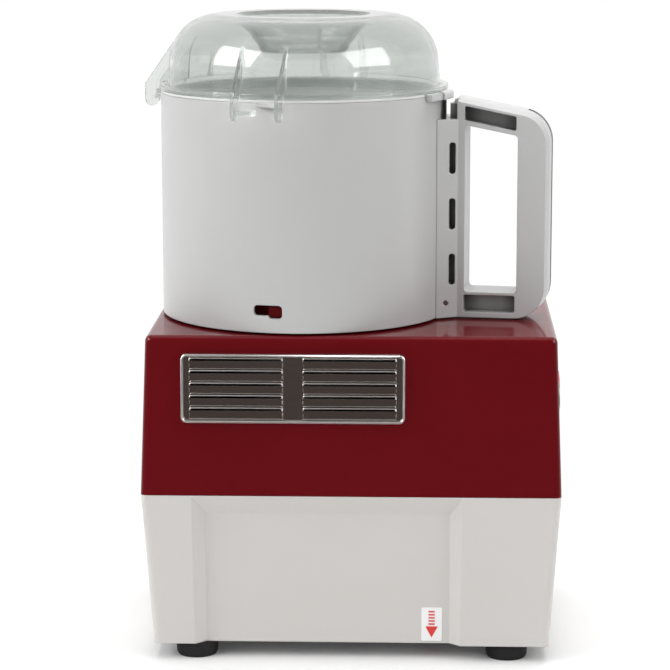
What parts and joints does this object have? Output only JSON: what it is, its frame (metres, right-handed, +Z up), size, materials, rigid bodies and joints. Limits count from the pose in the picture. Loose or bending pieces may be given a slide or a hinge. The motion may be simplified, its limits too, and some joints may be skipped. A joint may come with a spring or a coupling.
{
  "type": "commercial food processor",
  "caption": "Bench-top food processor with a tapered motor base, lift-off cutter bowl with a loop handle, sickle blades and a clear domed lid with a feed funnel.",
  "frame": {"origin": "middle of the base at the level of the surface that it stands on", "axes": "+Z up, +X towards the control end, -Y towards the side with the louvred vent"},
  "size_m": [0.3132, 0.2402, 0.465],
  "materials": {
    "lower_shell": "moulded, satin, warm light grey",
    "cover_paint": "glossy dark burgundy red",
    "vent_steel": "polished stainless sheet",
    "plain_steel": "plain bright steel",
    "foot_rubber": "black rubber",
    "cast_alloy": "die-cast",
    "core_steel": "laminated steel",
    "copper_wire": "varnished copper wire",
    "capacitor_can": "drawn can",
    "board": "green circuit board",
    "black_plastic": "black plastic",
    "white_plastic": "white plastic",
    "sticker_white": "printed label, white",
    "sticker_red": "printed red",
    "hub_plastic": "light grey moulded hub",
    "blade_steel": "ground stainless blade",
    "bowl_plastic": "moulded light grey, satin",
    "rod_steel": "dark coated rod",
    "seal_silicone": "white silicone",
    "clear_lid": "clear moulded plastic",
    "button_green": "green",
    "button_red": "red"
  },
  "bodies": {
    "base": {"lower_housing": "lower_shell", "motor_cover": "cover_paint", "bowl_seat": "cover_paint", "vent_louvres": "vent_steel", "bottom_plate": "plain_steel", "rubber_feet": "foot_rubber", "foot_screws": "plain_steel", "case_screws": "plain_steel", "motor_flange": "cast_alloy", "lower_end_bell": "cast_alloy", "stator_core": "core_steel", "stator_windings": "copper_wire", "upper_bearing": "plain_steel", "lower_bearing": "plain_steel", "through_bolts": "plain_steel", "flange_screws": "plain_steel", "shaft_seal": "foot_rubber", "run_capacitor": "capacitor_can", "capacitor_bracket": "plain_steel", "control_board": "board", "board_relays": "black_plastic", "board_posts": "plain_steel", "terminal_block": "white_plastic", "cable_gland": "black_plastic", "control_panel": "black_plastic", "button_bezels": "plain_steel", "switch_blocks": "black_plastic", "interlock_sensor": "black_plastic", "reset_breaker": "black_plastic", "sticker_plate": "sticker_white", "sticker_arrow": "sticker_red"},
    "rotor": {"rotor_shaft": "plain_steel", "rotor_core": "core_steel", "cooling_fan": "black_plastic"},
    "blades": {"blade_hub": "hub_plastic", "lower_blade": "blade_steel", "upper_blade": "blade_steel", "blade_cap": "hub_plastic"},
    "bush": {"chimney_bush": "white_plastic"},
    "bowl": {"bowl": "bowl_plastic", "bowl_handle": "bowl_plastic", "handle_screws": "plain_steel", "rod_spring": "plain_steel"},
    "rod": {"interlock_rod": "rod_steel", "rod_magnet": "plain_steel"},
    "seal": {"lid_seal": "seal_silicone"},
    "lid": {"lid": "clear_lid", "lid_latch": "bowl_plastic"},
    "start_button": {"start_button": "button_green"},
    "stop_button": {"stop_button": "button_red"},
    "pulse_button": {"pulse_button": "black_plastic"},
    "reset_button": {"reset_button": "button_red"}
  },
  "joints": [
    {"name": "shaft_spin", "type": "hinge", "parent": "base", "child": "rotor", "pos_m": [-0.038, 0, 0.2], "axis": [0, 0, 1], "continuous": true},
    {"name": "bowl_lift", "type": "slide", "parent": "base", "child": "bush", "axis": [0, 0, 1], "range_m": [0, 0.12]},
    {"name": "blade_lift", "type": "slide", "parent": "rotor", "child": "blades", "axis": [0, 0, 1], "range_m": [0, 0.12]},
    {"name": "bowl_turn", "type": "hinge", "parent": "bush", "child": "bowl", "pos_m": [-0.038, 0, 0.3], "axis": [0, 0, 1], "range_deg": [0, 15]},
    {"name": "lid_turn", "type": "hinge", "parent": "bowl", "child": "seal", "pos_m": [-0.038, 0, 0.41], "axis": [0, 0, 1], "range_deg": [0, 7]},
    {"name": "lid_lift", "type": "slide", "parent": "seal", "child": "lid", "axis": [0, 0, 1], "range_m": [0, 0.06]},
    {"name": "rod_press", "type": "slide", "parent": "bowl", "child": "rod", "axis": [0, 0, -1], "range_m": [0, 0.0035], "deforming": ["rod_spring"]},
    {"name": "start_press", "type": "slide", "parent": "base", "child": "start_button", "axis": [-0.9993, 0, -0.0386], "range_m": [0, 0.003], "stiffness_N_per_m": 800},
    {"name": "stop_press", "type": "slide", "parent": "base", "child": "stop_button", "axis": [-0.9993, 0, -0.0386], "range_m": [0, 0.003], "stiffness_N_per_m": 800},
    {"name": "pulse_press", "type": "slide", "parent": "base", "child": "pulse_button", "axis": [-0.9993, 0, -0.0386], "range_m": [0, 0.003], "stiffness_N_per_m": 800},
    {"name": "reset_press", "type": "slide", "parent": "base", "child": "reset_button", "axis": [0, 0, 1], "range_m": [0, 0.002], "stiffness_N_per_m": 600, "springref_m": -0.001}
  ],
  "couplings": [
    {"joint": "blade_lift", "follows": "bowl_lift", "ratio": 1},
    {"joint": "rod_press", "follows": "lid_turn", "m_per_rad": 0.028648}
  ]
}
